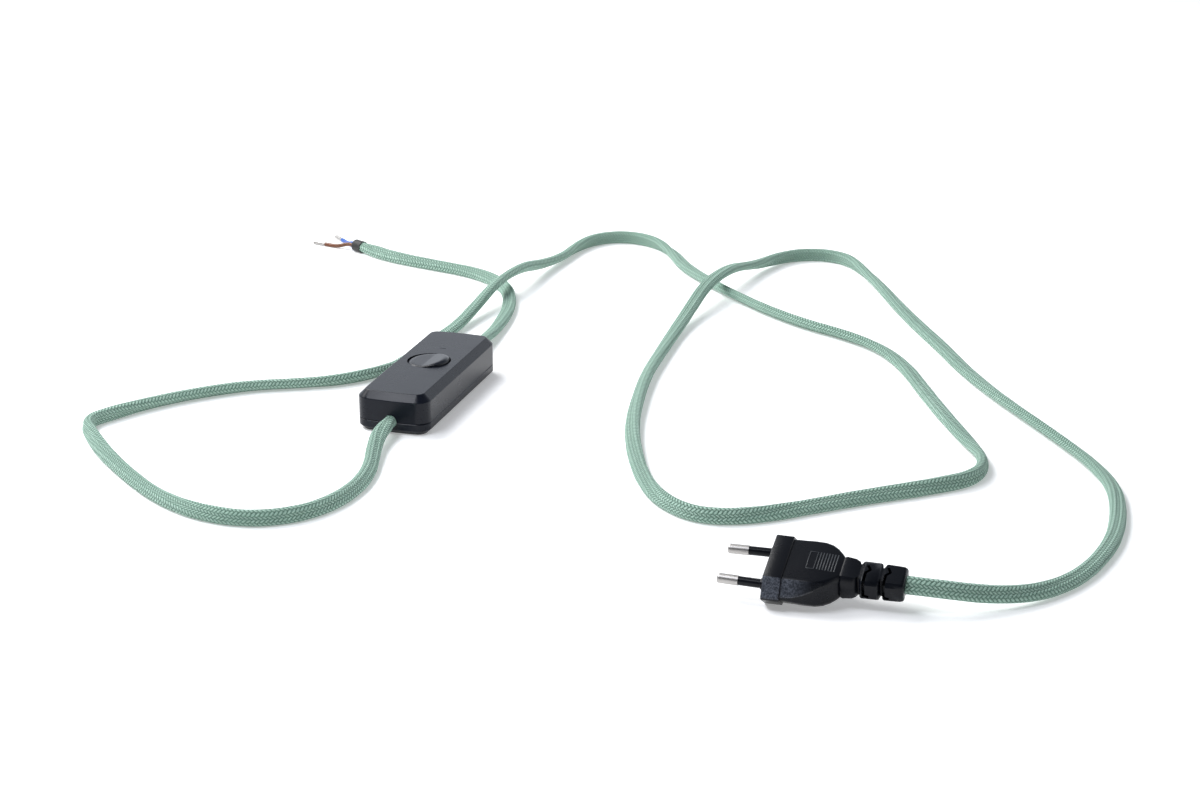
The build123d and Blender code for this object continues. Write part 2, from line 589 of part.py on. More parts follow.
def plug_pin(y):
    """One solid pin: a thin root under the sleeve and a full-size round-nosed end."""
    thin = PIN_SLEEVE_RADIUS - PIN_SLEEVE_WALL
    pin = rod(0, 0, thin, -PIN_ROOT, PIN_SLEEVE_LENGTH)
    pin += rod(0, 0, PIN_RADIUS, PIN_SLEEVE_LENGTH, PIN_LENGTH - 1)
    nose = Pos(PIN_LENGTH - 1, 0, 0) * Rot(0, 90, 0) * Cylinder(PIN_RADIUS, 2)
    nose = fillet(nose.edges().sort_by(Axis.X)[-1], 0.98)
    return plug_place() * pin_place(y) * (pin + nose)


def pin_sleeve(y):
    """The insulating sleeve over a pin's root."""
    sleeve = rod(0, 0, PIN_SLEEVE_RADIUS, -PIN_ROOT, PIN_SLEEVE_LENGTH)
    core = rod(0, 0, PIN_SLEEVE_RADIUS - PIN_SLEEVE_WALL, -PIN_ROOT - 1, PIN_LENGTH)
    return plug_place() * pin_place(y) * (sleeve - core)


def supply_route():
    """The points of the plug's cord: the list above, then straight into the strain relief."""
    tail = GRIP_END + relief_length()
    inside = plug_place() * Pos(-tail, 0, 0)
    outside = plug_place() * Pos(-tail - CORD_LEAVES_STRAIGHT, 0, 0)
    return SUPPLY_ROUTE + [tuple(outside.position), tuple(inside.position)]


def tail_frame():
    """A frame at the load cord's end, with +X along the cord."""
    last, before = Vector(*LOAD_ROUTE[-1]), Vector(*LOAD_ROUTE[-2])
    return Plane(origin=last, x_dir=last - before, z_dir=(0, 0, 1))


def tail_route(side):
    """One bared core of the load cord, from the sheath's end to its ferrule."""
    low = CORE_RADIUS - CORD_RADIUS - TAIL_SLEEVE_WALL + TAIL_LIFT
    local = [(0, side * CORE_SPACING, 0), (5, side * CORE_SPACING, 0), (12, side * 4.2, low), (20, side * 6.2, low)]
    return [tuple(tail_frame().from_local_coords(Vector(*point))) for point in local]


def tail_ferrule(side):
    """The crimped ferrule on one bared core."""
    route = [Vector(*point) for point in tail_route(side)]
    along = (route[-1] - route[-2]).normalized()
    return extrude(Plane(origin=route[-1], z_dir=along) * Circle(FERRULE_RADIUS), FERRULE_LENGTH)


def tail_sleeve():
    """The shrunk sleeve that binds the braid at the load cord's end."""
    inner = CORD_RADIUS + TAIL_SLEEVE_CLEARANCE
    last, before = Vector(*LOAD_ROUTE[-1]), Vector(*LOAD_ROUTE[-2])
    back = Plane(origin=last, z_dir=before - last)
    ring = back * (Circle(CORD_RADIUS + TAIL_SLEEVE_WALL) - Circle(inner))
    return extrude(ring, TAIL_SLEEVE_LENGTH)


NODES = {
    "upper_housing": upper_housing(),
    "lower_housing": lower_housing(),
    "rocker": rocker(),
    "plunger": plunger(),
    "plunger_spring": plunger_spring(),
    "contact_blade": contact_blade(),
    "moving_contact": moving_contact(),
    "fixed_contact": fixed_contact(),
    "live_in_terminal": live_in_terminal(),
    "live_out_terminal": live_out_terminal(),
    "neutral_terminal": neutral_terminal(),
    "terminal_screws": terminal_screws(),
    "supply_clamp_bar": clamp_bar(-1),
    "load_clamp_bar": clamp_bar(1),
    "clamp_screws": clamp_screws(),
    "housing_screws": housing_screws(),
    "supply_sheath_end": sheath_end(-1),
    "load_sheath_end": sheath_end(1),
    "supply_brown_core": tube(core_route(-1, LIVE_Y), CORE_RADIUS),
    "supply_blue_core": tube(core_route(-1, NEUTRAL_Y), CORE_RADIUS),
    "load_brown_core": tube(core_route(1, LIVE_Y), CORE_RADIUS),
    "load_blue_core": tube(core_route(1, NEUTRAL_Y), CORE_RADIUS),
    "supply_copper_ends": [copper_end(-1, y) for y in (LIVE_Y, NEUTRAL_Y)],
    "load_copper_ends": [copper_end(1, y) for y in (LIVE_Y, NEUTRAL_Y)],
    "supply_cord": tube(supply_route(), CORD_RADIUS),
    "load_cord": tube(LOAD_ROUTE, CORD_RADIUS),
    "plug_body": plug_body(),
    "plug_pin_1": plug_pin(-PIN_SPACING / 2),
    "plug_pin_2": plug_pin(PIN_SPACING / 2),
    "pin_sleeve_1": pin_sleeve(-PIN_SPACING / 2),
    "pin_sleeve_2": pin_sleeve(PIN_SPACING / 2),
    "tail_brown_core": tube(tail_route(1), CORE_RADIUS),
    "tail_blue_core": tube(tail_route(-1), CORE_RADIUS),
    "tail_ferrules": [tail_ferrule(side) for side in (-1, 1)],
    "tail_sleeve": tail_sleeve(),
}

os.makedirs("parts", exist_ok=True)
for name, shape in NODES.items():
    solids = shape if isinstance(shape, list) else [shape]
    bodies = [solid for item in solids for solid in item.solids()]
    export_step(bodies[0] if len(bodies) == 1 else Compound(bodies), f"parts/{name}.step")
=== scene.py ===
"""Looks of the inline cord switch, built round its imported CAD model."""
from math import cos, exp, pi, radians, sin, sqrt, tan

import bmesh
import bpy
import numpy as np
from mathutils import Matrix, Vector


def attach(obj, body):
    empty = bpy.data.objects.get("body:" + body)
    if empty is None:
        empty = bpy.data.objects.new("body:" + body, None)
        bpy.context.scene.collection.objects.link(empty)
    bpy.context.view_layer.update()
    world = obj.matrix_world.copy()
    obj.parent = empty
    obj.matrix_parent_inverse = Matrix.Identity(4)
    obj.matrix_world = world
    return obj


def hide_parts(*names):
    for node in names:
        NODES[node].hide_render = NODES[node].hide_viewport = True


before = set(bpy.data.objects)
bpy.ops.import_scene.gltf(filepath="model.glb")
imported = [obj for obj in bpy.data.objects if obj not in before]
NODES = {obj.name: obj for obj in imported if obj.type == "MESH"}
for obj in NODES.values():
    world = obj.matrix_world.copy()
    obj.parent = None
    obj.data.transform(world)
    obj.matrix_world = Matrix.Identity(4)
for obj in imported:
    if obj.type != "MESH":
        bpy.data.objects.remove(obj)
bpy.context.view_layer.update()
MILLIMETRE = 0.001

# Camera
CAMERA_PLACE = (-1.0098, -0.3995, 0.3950)
CAMERA_ANGLES = (radians(69.95), 0, radians(-72.71))
CAMERA_LENS = 72.9
SENSOR_WIDTH = 36.0
CLIP_START = 0.02
CLIP_END = 50.0

# Lights and floor
KEY_POWER = 30.0
FILL_POWER = 10.0
SKY_COLOUR = (0.88, 0.93, 1.0, 1)
FLOOR_GLOW = 0.3
FLOOR_SIZE = 6.0

# Shading of the CAD nodes
SAME_POINT = 0.0000003
SMOOTH_BELOW = radians(33)
EVEN_SHADING_WEIGHT = 80

# Braid: the yarns of each set round the cord, the length of one turn, and the shape of a yarn
BRAID_YARNS = 12
BRAID_LAY = 0.0215
BRAID_REPEAT = 4.0
BRAID_RELIEF = 0.0007
YARN_CROWN = 0.6
YARN_ARCH = 0.45
YARN_THREADS = 3
THREAD_DEPTH = 0.07
SECOND_SET_NUMBERS = 37.0
YARN_DARKER = (0.42, 0.62, 0.515)
YARN_LIGHTER = (0.52, 0.73, 0.615)
YARN_PATCHES = (0.39, 0.585, 0.485)
# Painted shade: the darker green that the yarns turn towards down in the gaps between them
YARN_GAP_SHADE = (0.14, 0.27, 0.2)

# Section of the cord, in metres
CORD_WIDTH = 0.0072
CORD_THICKNESS = 0.0046
CORD_GROOVE = 0.00025
TUBE_RADIUS = 0.003
EXIT_RADIUS = 0.00292
EXIT_HEIGHT_SHARE = 0.75
EXIT_HEIGHT = 0.006
SECTION_STEPS = 8
FLAT_STEPS = 4
ROUTE_RESOLUTION = 16
ROUTE_LEAST_STEP = 1e-6

# Turn of the cord about its own line; bends are in radians per metre, runs in metres
# A run of two distances begins and completes a change. At an end they count back from it
BEND_WINDOW = 0.014
FLAT_BEND = 6.0
EDGE_BEND = 26.0
EDGE_TWIST = radians(82)
WANDER_TWIST = radians(20)
WANDER_RATE = 23.0
TWIST_WINDOW = 0.012
EXIT_RUN = 0.03
PLUG_END_TWIST = radians(-70)
PLUG_END_RUN = (0.07, 0.015)
ROUND_EXIT = (0.001, 0.009)
ROUND_BARE_END = (0.018, 0.008)
CLEAR_OF_FLOOR = 0.006

# Slight variation of the section along the cord
SWELL = 0.012
SWELL_RATES = (310, 97)

# Rocker, in millimetres
ROCKER_X = 2.0
ROCKER_AXIS_Z = 16.0
ROCKER_TOP_Z = 19.0
ROCKER_UNDERSIDE = 15.32
ROCKER_TILT = radians(6)
ROCKER_CROWN = 24.0
ROCKER_CROWN_TOP = 21.2
CREASE_SOFTNESS = 0.06
CROWN_SOFTNESS = 0.12
CAP_RADIUS = 9.87
CAP_RISE = 0.15
CAP_TOP = [(k * 0.75, 0.0) for k in range(12)]
CAP_RIM = [(8.75, 0.0), (9.2, -0.05), (9.5, -0.16), (9.7, -0.34), (9.82, -0.6), (CAP_RADIUS, -0.95)]
CAP_SKIRT = [
    (CAP_RADIUS, ROCKER_UNDERSIDE + 1.2), (CAP_RADIUS, ROCKER_UNDERSIDE + 0.3),
    (CAP_RADIUS - 0.3, ROCKER_UNDERSIDE), (5.0, ROCKER_UNDERSIDE), (0.0, ROCKER_UNDERSIDE),
]
CAP_MARK = 100
CAP_STEPS = 96

# Where the plug's own frame lies in the scene, in metres
PLUG_PLACE = (
    Matrix.Translation((-0.1662, -0.2061, 0.01046517))
    @ Matrix.Rotation(radians(90.5), 4, "Z")
    @ Matrix.Rotation(radians(-17), 4, "X")
)

# Plug, in millimetres in its own frame: pins along +X, flange face at 0
# A section is x, width, height, the width of its flat top and the height of its flat side
FLANGE_DEPTH = 7.3
FLANGE_SECTION = (36.0, 14.2, 24.8, 1.0)
GRIP_SECTIONS = [
    (-6.6, 33.6, 12.8, 23.2, 1.2), (-12.0, 33.0, 12.9, 23.4, 2.4), (-16.0, 31.6, 13.0, 23.8, 4.4),
    (-20.0, 28.6, 12.9, 23.6, 7.0), (-23.0, 25.0, 12.7, 21.8, 8.4), (-25.5, 20.8, 12.4, 18.2, 8.6),
    (-27.5, 16.6, 11.8, 14.0, 8.0), (-29.0, 12.8, 10.4, 10.6, 7.0), (-31.0, 12.0, 9.8, 9.8, 6.6),
]
# The grip's upper slants get the grain with its painted sheen in front of this x; faces count as upper
# slants by these parts of their normals
GRIP_GRAIN_AND_SHEEN_END = -22.0
SLANT_ACROSS = 0.6
SLANT_UP = 0.3
COLLAR_SECTIONS = [
    (-28.0, 11.6, 9.2, 9.2, 6.0), (-28.5, 14.2, 10.9, 10.8, 7.0), (-29.4, 15.2, 11.4, 11.6, 7.4),
    (-33.0, 14.6, 10.6, 11.2, 7.0), (-34.5, 12.8, 9.8, 9.8, 6.8), (-35.2, 8.4, 9.2, 7.4, 6.6),
    (-35.6, 8.4, 9.2, 7.4, 6.6),
]
BLOCK_SECTIONS = [
    (-36.2, 12.6, 9.4, 10.2, 6.6), (-36.9, 14.0, 9.5, 10.8, 6.6), (-42.8, 13.8, 9.4, 10.8, 6.4),
    (-43.4, 12.6, 9.3, 10.0, 6.4), (-43.9, 7.0, 9.0, 6.0, 6.4), (-44.3, 7.0, 9.0, 6.0, 6.4),
    (-45.0, 12.4, 9.2, 10.0, 6.2), (-45.6, 13.6, 9.2, 10.6, 6.2), (-51.8, 13.2, 8.8, 10.4, 6.0),
    (-52.8, 12.4, 8.4, 9.6, 5.6), (-53.2, 11.2, 7.6, 8.8, 5.0),
]
SLIT_SHIFTS = (0.0, -7.8)
SLIT_REACH = 4
FACE_SLIT = [(-38.4, -3.6), (-39.5, -1.7), (-39.8, -0.6), (-38.3, 1.2), (-38.3, 5.9)]
FACE_SLIT_Z = 2.2
FACE_SLIT_WIDTH = 1.1
SIDE_SLIT = [(-38.3, 4.1), (-38.3, -1.4), (-39.9, -1.7)]
SIDE_SLIT_Y = 4.6
SIDE_SLIT_WIDTH = 1.15
CUT_TOLERANCE = 0.004
FRAME_BARS = [
    ((-18.35, -18.1), (-5.4, 4.6)), ((-15.3, -15.05), (-5.4, 4.6)),
    ((-18.3, -15.1), (4.4, 4.65)), ((-18.3, -15.1), (-5.45, -5.2)),
]
RIB_COUNT = 7
RIB_FIRST_X = -19.4
RIB_PITCH = 1.12
RIB_HALF_WIDTH = 0.2
RIB_CENTRE_Y = -0.4
RIB_SINK = 0.4
RIB_RISE = 0.2
PIN_OFFSET = 9.38
STEP_X = 0.7
STEP_DEPTH = 2.0

# Routes of the two cords, in metres
SUPPLY_ROUTE = [
    (-0.048, 0, 0.006), (-0.061, 0, 0.006), (-0.079, -0.0045, 0.0044), (-0.099, -0.011, 0.0031),
    (-0.119, -0.0135, 0.003), (-0.139, -0.011, 0.003), (-0.156, -0.002, 0.003), (-0.167, 0.016, 0.003),
    (-0.1655, 0.039, 0.003), (-0.153, 0.064, 0.003), (-0.134, 0.088, 0.003), (-0.114, 0.11, 0.003),
    (-0.098, 0.125, 0.003), (-0.084, 0.136, 0.003), (-0.068, 0.129, 0.003), (-0.048, 0.118, 0.003),
    (-0.03, 0.103, 0.003), (-0.014, 0.085, 0.003), (-0.004, 0.064, 0.003), (0.006, 0.046, 0.003),
    (0.024, 0.032, 0.003), (0.048, 0.0275, 0.003), (0.075, 0.0255, 0.003), (0.1, 0.0225, 0.0034),
    (0.124, 0.0215, 0.006), (0.15, 0.019, 0.012), (0.18, 0.0155, 0.012), (0.206, 0.013, 0.006),
    (0.23, 0.0095, 0.0034), (0.252, 0.008, 0.003), (0.271, 0.002, 0.003), (0.281, -0.012, 0.003),
    (0.277, -0.031, 0.003), (0.259, -0.048, 0.003), (0.236, -0.061, 0.003), (0.212, -0.082, 0.003),
    (0.191, -0.103, 0.003), (0.172, -0.124, 0.003), (0.156, -0.147, 0.003), (0.145, -0.171, 0.003),
    (0.13, -0.192, 0.003), (0.106, -0.209, 0.003), (0.076, -0.223, 0.003), (0.045, -0.238, 0.003),
    (0.016, -0.253, 0.003), (-0.01, -0.266, 0.003), (-0.031, -0.265, 0.003), (-0.046, -0.249, 0.003),
    (-0.064, -0.225, 0.003), (-0.083, -0.203, 0.003), (-0.102, -0.182, 0.003), (-0.108, -0.161, 0.003),
    (-0.096, -0.142, 0.003), (-0.072, -0.127, 0.003), (-0.042, -0.114, 0.003), (-0.01, -0.1035, 0.003),
    (0.024, -0.0965, 0.003), (0.058, -0.091, 0.003), (0.092, -0.0885, 0.003), (0.124, -0.0865, 0.0034),
    (0.152, -0.0865, 0.006), (0.18, -0.088, 0.012), (0.212, -0.0925, 0.012), (0.24, -0.099, 0.006),
    (0.263, -0.107, 0.0034), (0.2745, -0.1165, 0.003), (0.279, -0.13, 0.003), (0.274, -0.145, 0.003),
    (0.257, -0.157, 0.003), (0.233, -0.171, 0.003), (0.203, -0.186, 0.003), (0.172, -0.203, 0.003),
    (0.141, -0.221, 0.003), (0.112, -0.236, 0.003), (0.084, -0.253, 0.003), (0.057, -0.272, 0.003),
    (0.031, -0.291, 0.003), (0.004, -0.31, 0.003), (-0.022, -0.323, 0.003), (-0.05, -0.328, 0.003),
    (-0.079, -0.329, 0.003), (-0.106, -0.3245, 0.003), (-0.127, -0.3175, 0.003), (-0.145, -0.3055, 0.0038),
    (-0.157, -0.289, 0.0066), (-0.16563, -0.271, 0.01047), (-0.16574, -0.259, 0.01047),
]
LOAD_ROUTE = [
    (0.048, 0, 0.006), (0.061, 0, 0.006), (0.079, 0.0008, 0.0044), (0.098, 0.002, 0.0031),
    (0.116, 0.004, 0.003), (0.134, 0.007, 0.003), (0.153, 0.0125, 0.003), (0.17, 0.021, 0.003),
    (0.183, 0.034, 0.003), (0.192, 0.05, 0.003), (0.197, 0.068, 0.003), (0.201, 0.086, 0.003),
    (0.206, 0.103, 0.0031), (0.213, 0.117, 0.0034), (0.219, 0.1285, 0.0034),
]


# Camera, lights and floor
def place_camera():
    """The photograph's viewpoint."""
    camera = bpy.data.cameras.new("view")
    camera.lens = CAMERA_LENS
    camera.sensor_width = SENSOR_WIDTH
    camera.clip_start = CLIP_START
    camera.clip_end = CLIP_END
    holder = bpy.data.objects.new("view", camera)
    holder.location = CAMERA_PLACE
    holder.rotation_euler = CAMERA_ANGLES
    bpy.context.scene.collection.objects.link(holder)
    bpy.context.scene.camera = holder


def soft_box(name, place, aim, size, power, colour):
    """A large soft studio light, aimed at a point."""
    light = bpy.data.lights.new(name, "AREA")
    light.shape = "RECTANGLE"
    light.size, light.size_y = size
    light.energy = power
    light.color = colour
    holder = bpy.data.objects.new(name, light)
    holder.location = place
    holder.rotation_euler = (Vector(aim) - Vector(place)).to_track_quat("-Z", "Y").to_euler()
    bpy.context.scene.collection.objects.link(holder)


def sky_fade(tree, direction, dim_at, full_at, dim, full):
    """Brightness that goes from dim to full with one part of the direction of sight."""
    fade = tree.nodes.new("ShaderNodeMapRange")
    fade.interpolation_type = "SMOOTHSTEP"
    for socket, value in (("From Min", dim_at), ("From Max", full_at), ("To Min", dim), ("To Max", full)):
        fade.inputs[socket].default_value = value
    tree.links.new(direction, fade.inputs["Value"])
    return fade.outputs[0]


def surroundings():
    """A sky that is bright low on the far side, and dim above and behind the camera."""
    world = bpy.data.worlds.new("surround")
    world.use_nodes = True
    tree = world.node_tree
    sight = tree.nodes.new("ShaderNodeSeparateXYZ")
    tree.links.new(tree.nodes.new("ShaderNodeTexCoord").outputs["Generated"], sight.inputs[0])
    by_height = sky_fade(tree, sight.outputs["Z"], dim_at=0.62, full_at=0.28, dim=0.22, full=1.4)
    by_side = sky_fade(tree, sight.outputs["X"], dim_at=-0.5, full_at=0.35, dim=0.12, full=1.0)
    strength = tree.nodes.new("ShaderNodeMath")
    strength.operation = "MULTIPLY"
    tree.links.new(by_height, strength.inputs[0])
    tree.links.new(by_side, strength.inputs[1])
    background = tree.nodes["Background"]
    background.inputs["Color"].default_value = SKY_COLOUR
    tree.links.new(strength.outputs[0], background.inputs["Strength"])
    bpy.context.scene.world = world


def studio():
    """A pale floor under the sky, and two soft lights above."""
    surroundings()
    soft_box("key", place=(0.35, 0.95, 1.25), aim=(0.0, -0.05, 0), size=(1.2, 0.9), power=KEY_POWER,
             colour=(1.0, 0.99, 0.98))
    soft_box("fill", place=(-0.55, 0.42, 1.25), aim=(-0.05, -0.05, 0), size=(0.6, 0.45), power=FILL_POWER,
             colour=(0.9, 0.93, 1.0))
    floor_mesh = bmesh.new()
    bmesh.ops.create_grid(floor_mesh, x_segments=1, y_segments=1, size=FLOOR_SIZE)
    floor = finished("floor", floor_mesh, floor_paint())
    bpy.context.scene.view_settings.view_transform = "Standard"


# Small helpers for meshes and for material nodes
def finished(name, mesh, material, smooth=None):
    """Turns a bmesh into an object of the scene, smooth where its faces meet below an angle in degrees."""
    data = bpy.data.meshes.new(name)
    mesh.to_mesh(data)
    mesh.free()
    data.materials.append(material)
    if smooth is not None:
        for face in data.polygons:
            face.use_smooth = True
        data.set_sharp_from_angle(angle=radians(smooth))
    piece = bpy.data.objects.new(name, data)
    bpy.context.scene.collection.objects.link(piece)
    return piece


def each_once(parts):
    """The parts in the order they come in, without repeats."""
    return list(dict.fromkeys(parts))


def rounded(mesh, edges, offset, segments=3, clamp=False):
    """Rounds edges with an arc of a few segments."""
    bmesh.ops.bevel(mesh, geom=edges, offset=offset, segments=segments, profile=0.5, affect="EDGES",
                    material=-1, clamp_overlap=clamp)


def soft_edges():
    """A modifier group that joins a node's triangles and shades its shallow edges smooth."""
    group = bpy.data.node_groups.new("soft_edges", "GeometryNodeTree")
    group.interface.new_socket("Geometry", in_out="INPUT", socket_type="NodeSocketGeometry")
    group.interface.new_socket("Geometry", in_out="OUTPUT", socket_type="NodeSocketGeometry")
    add, link = group.nodes.new, group.links.new
    merge = add("GeometryNodeMergeByDistance")
    merge.inputs["Distance"].default_value = SAME_POINT
    faces, edges = add("GeometryNodeSetShadeSmooth"), add("GeometryNodeSetShadeSmooth")
    faces.domain, edges.domain = "FACE", "EDGE"
    shallow = add("FunctionNodeCompare")
    shallow.data_type, shallow.operation = "FLOAT", "LESS_THAN"
    shallow.inputs["B"].default_value = SMOOTH_BELOW
    link(add("GeometryNodeInputMeshEdgeAngle").outputs["Unsigned Angle"], shallow.inputs["A"])
    link(add("NodeGroupInput").outputs[0], merge.inputs["Geometry"])
    link(merge.outputs[0], faces.inputs["Geometry"])
    link(faces.outputs[0], edges.inputs["Geometry"])
    link(shallow.outputs[0], edges.inputs["Shade Smooth"])
    link(edges.outputs[0], add("NodeGroupOutput").inputs[0])
    return group


class Paint:
    """A material under construction: its nodes are added one by one."""

    def __init__(self, name, **sockets):
        self.material = bpy.data.materials.new(name)
        self.material.use_nodes = True
        self.tree = self.material.node_tree
        self.tree.nodes.clear()
        self.shader = self.tree.nodes.new("ShaderNodeBsdfPrincipled")
        out = self.tree.nodes.new("ShaderNodeOutputMaterial")
        self.tree.links.new(self.shader.outputs[0], out.inputs["Surface"])
        for socket, value in sockets.items():
            self.shader.inputs[socket.replace("_", " ")].default_value = value

    def node(self, kind, **inputs):
        """Adds a node; inputs are values, or sockets to link from. i2 is the input with index 2."""
        node = self.tree.nodes.new("ShaderNode" + kind)
        for name, value in inputs.items():
            self.feed(node, name.replace("_", " "), value)
        return node

    def feed(self, node, name, value):
        """Gives one input of a node a value or a link. A colour is three numbers."""
        indexed = name[0] == "i" and name[1:].isdigit()
        socket = node.inputs[int(name[1:])] if indexed else node.inputs[name]
        if isinstance(value, bpy.types.NodeSocket):
            self.tree.links.new(value, socket)
        elif socket.type == "RGBA":
            socket.default_value = (*value, 1)
        else:
            socket.default_value = value

    def math(self, operation, a, b=0.0):
        """The result of one sum."""
        node = self.node("Math", i0=a, i1=b)
        node.operation = operation
        return node.outputs[0]

    def ramp(self, value, low, high):
        """A smooth step from 0 at low to 1 at high."""
        node = self.node("MapRange", Value=value, From_Min=low, From_Max=high)
        node.interpolation_type = "SMOOTHSTEP"
        return node.outputs[0]

    def spread(self, value, low, high):
        """A value of 0 to 1, spread between two others."""
        return self.node("MapRange", Value=value, To_Min=low, To_Max=high).outputs[0]

    def choice(self, second, a, b):
        """The value a where second is 0, and b where it is 1."""
        return self.node("Mix", i0=second, i2=a, i3=b).outputs[0]

    def mix(self, factor, a, b):
        """One colour changing into another."""
        node = self.node("Mix")
        node.data_type = "RGBA"
        for name, value in (("i0", factor), ("i6", a), ("i7", b)):
            self.feed(node, name, value)
        return node.outputs[2]

    def noise(self, scale, detail=3.0, stretch=(1, 1, 1)):
        """Noise on the piece's own coordinates."""
        where = self.node("TexCoord").outputs["Object"]
        if stretch != (1, 1, 1):
            where = self.node("Mapping", Vector=where, Scale=stretch).outputs[0]
        return self.node("TexNoise", Vector=where, Scale=scale, Detail=detail).outputs["Fac"]

    def bump(self, height, strength, distance):
        """Raises the surface by height, on top of any bump before."""
        bump = self.node("Bump", Height=height, Strength=strength, Distance=distance)
        normal = self.shader.inputs["Normal"]
        if normal.is_linked:
            self.tree.links.new(normal.links[0].from_socket, bump.inputs["Normal"])
        self.tree.links.new(bump.outputs[0], normal)

    def colour(self, value):
        """Links the shader's colour."""
        self.tree.links.new(value, self.shader.inputs["Base Color"])

    def roughness(self, value):
        """Links the shader's roughness."""
        self.tree.links.new(value, self.shader.inputs["Roughness"])

    def uneven_gloss(self, pattern, least, spread):
        """Roughness that goes up from least with the pattern."""
        self.roughness(self.math("ADD", self.math("MULTIPLY", pattern, spread), least))


# Paints
def floor_paint():
    """A matt, almost white studio floor, lit a little from behind as a light table is."""
    paint = Paint("pale_floor", Roughness=0.9, Specular_IOR_Level=0.1, Emission_Strength=FLOOR_GLOW)
    paint.shader.inputs["Emission Color"].default_value = (1, 1, 1, 1)
    paint.colour(paint.mix(paint.noise(scale=3.0), (0.88, 0.88, 0.88), (0.9, 0.9, 0.9)))
    return paint.material


def moulded_plastic(name, dark, light, rough, grain, depth, shine=0.5):
    """Moulded plastic with a fine spark-eroded texture and faint uneven gloss."""
    paint = Paint(name, IOR=1.5, Specular_IOR_Level=shine)
    cloud = paint.noise(scale=55.0, detail=4.0)
    paint.colour(paint.mix(cloud, dark, light))
    scratches = paint.noise(scale=900.0, detail=2.0, stretch=(1, 0.12, 1))
    paint.uneven_gloss(paint.math("ADD", cloud, scratches), least=rough, spread=0.04)
    paint.bump(paint.noise(scale=grain, detail=2.0), strength=0.35, distance=depth)
    paint.bump(paint.noise(scale=60.0, detail=1.0), strength=0.12, distance=0.0004)
    return paint.material


def grained_plastic_with_painted_sheen(name, dark, light, smooth_colour, back, front):
    """Coarse grained plastic with a painted sheen: light specks in its colour, fading to smooth black from
    front to back along Y.
    """
    paint = Paint(name, IOR=1.5, Specular_IOR_Level=0.4)
    along = paint.node("SeparateXYZ", Vector=paint.node("TexCoord").outputs["Object"]).outputs["Y"]
    fade = paint.ramp(along, back, front)
    grain = paint.noise(scale=1500.0)
    # Painted sheen: where the grain stands high the colour goes to the light specks
    painted_sheen_speckle = paint.mix(paint.ramp(grain, low=0.35, high=0.68), dark, light)
    paint.colour(paint.mix(fade, smooth_colour, painted_sheen_speckle))
    paint.roughness(paint.spread(fade, low=0.26, high=0.5))
    paint.bump(paint.math("MULTIPLY", grain, fade), strength=0.5, distance=0.0002)
    return paint.material


def bare_metal(name, colour, worn, rough, stretch):
    """Metal with drawn or rolled marks along one direction and faint tarnish."""
    paint = Paint(name, Metallic=1.0)
    paint.colour(paint.mix(paint.noise(scale=180.0, detail=4.0), colour, worn))
    marks = paint.noise(scale=1500.0, detail=2.0, stretch=stretch)
    paint.uneven_gloss(marks, least=rough, spread=0.16)
    paint.bump(marks, strength=0.15, distance=0.00005)
    return paint.material


def insulation(name, colour, dark):
    """Soft extruded insulation of one core."""
    paint = Paint(name, IOR=1.5, Subsurface_Weight=0.05)
    paint.colour(paint.mix(paint.noise(scale=120.0), colour, dark))
    paint.uneven_gloss(paint.noise(scale=700.0), least=0.28, spread=0.15)
    paint.bump(paint.noise(scale=500.0, detail=2.0), strength=0.12, distance=0.0001)
    return paint.material


def yarn_height(paint, position, run):
    """The height of one set of yarns: round across, arched where it floats over two, with fine threads."""
    across = paint.math("FRACT", position)
    floating = paint.math("FLOORED_MODULO", run, BRAID_REPEAT)
    crown = paint.math("POWER", paint.math("SINE", paint.math("MULTIPLY", across, pi)), YARN_CROWN)
    arch = paint.math("POWER", paint.math("SINE", paint.math("MULTIPLY", floating, pi / 2)), YARN_ARCH)
    threads = paint.math("COSINE", paint.math("MULTIPLY", across, 2 * pi * YARN_THREADS))
    threads = paint.math("ADD", paint.math("MULTIPLY", threads, THREAD_DEPTH), 1 - THREAD_DEPTH)
    return paint.math("MULTIPLY", paint.math("MULTIPLY", crown, arch), threads)


